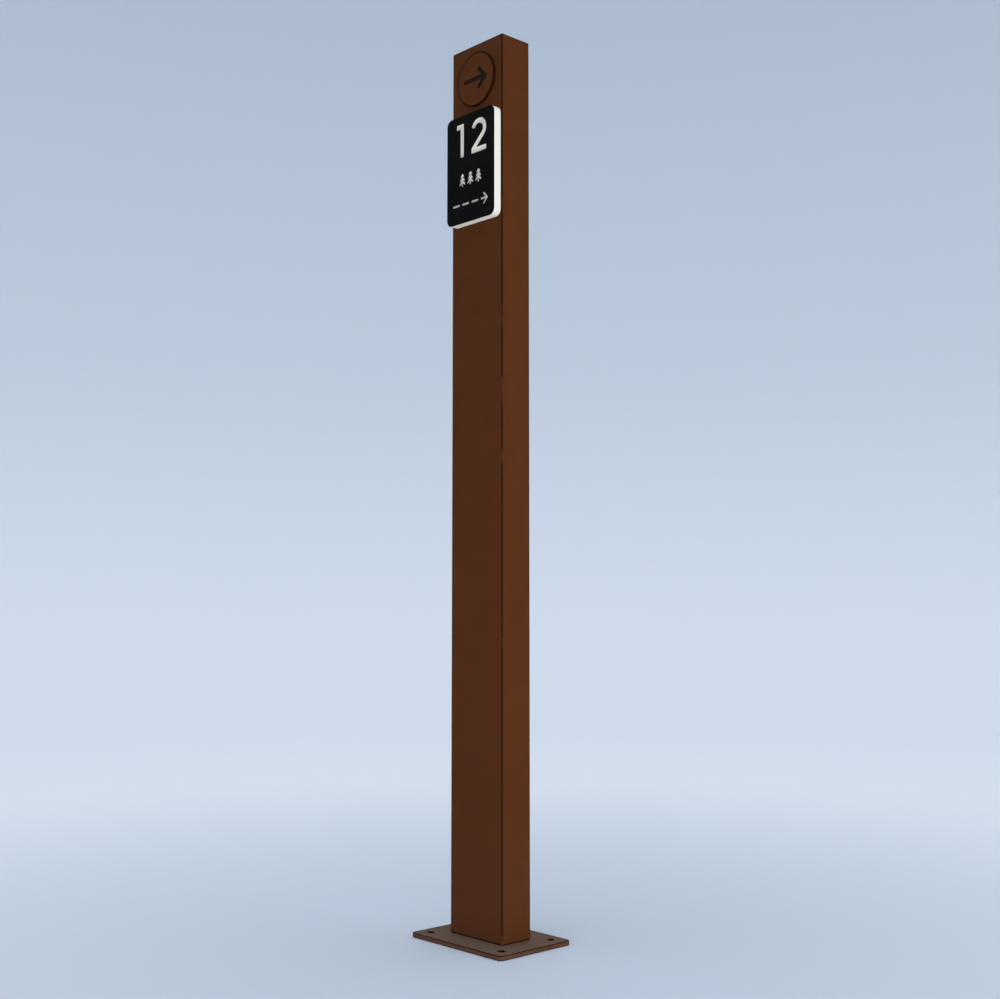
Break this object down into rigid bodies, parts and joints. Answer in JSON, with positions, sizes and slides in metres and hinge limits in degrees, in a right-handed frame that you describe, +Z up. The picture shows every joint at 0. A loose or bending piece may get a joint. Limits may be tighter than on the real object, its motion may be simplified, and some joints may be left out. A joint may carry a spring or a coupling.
{
  "type": "park interpretation sign",
  "caption": "Upright rectangular tube post on a bolt-down base plate, with a small engraved two-colour sign panel and a round medallion on its front.",
  "frame": {"origin": "centre of the base plate's underside, on the ground", "axes": "+Z up along the post; +X to a reader's right, along the post's wide face; -Y the way the sign faces"},
  "size_m": [0.1778, 0.127, 1.2256],
  "materials": {
    "powder_coat": "satin",
    "white_sheet": "matte",
    "black_sheet": "matte",
    "stainless_steel": "satin",
    "mill_aluminium": "satin",
    "brass": "satin"
  },
  "bodies": {
    "root": {"base_plate": "powder_coat", "base_weld": "powder_coat", "cap_plate": "powder_coat", "cap_weld": "powder_coat", "medallion_boss_left": "mill_aluminium", "medallion_boss_right": "mill_aluminium", "medallion_disc": "powder_coat", "medallion_screw_left": "stainless_steel", "medallion_screw_right": "stainless_steel", "medallion_sleeve_left": "mill_aluminium", "medallion_sleeve_right": "mill_aluminium", "medallion_washer_left": "stainless_steel", "medallion_washer_right": "stainless_steel", "post_tube": "powder_coat", "sign_core": "white_sheet", "sign_face": "black_sheet", "sign_insert_lower_left": "brass", "sign_insert_lower_right": "brass", "sign_insert_upper_left": "brass", "sign_insert_upper_right": "brass", "sign_screw_lower_left": "stainless_steel", "sign_screw_lower_right": "stainless_steel", "sign_screw_upper_left": "stainless_steel", "sign_screw_upper_right": "stainless_steel", "sign_sleeve_lower_left": "mill_aluminium", "sign_sleeve_lower_right": "mill_aluminium", "sign_sleeve_upper_left": "mill_aluminium", "sign_sleeve_upper_right": "mill_aluminium", "sign_washer_lower_left": "stainless_steel", "sign_washer_lower_right": "stainless_steel", "sign_washer_upper_left": "stainless_steel", "sign_washer_upper_right": "stainless_steel"}
  },
  "joints": []
}
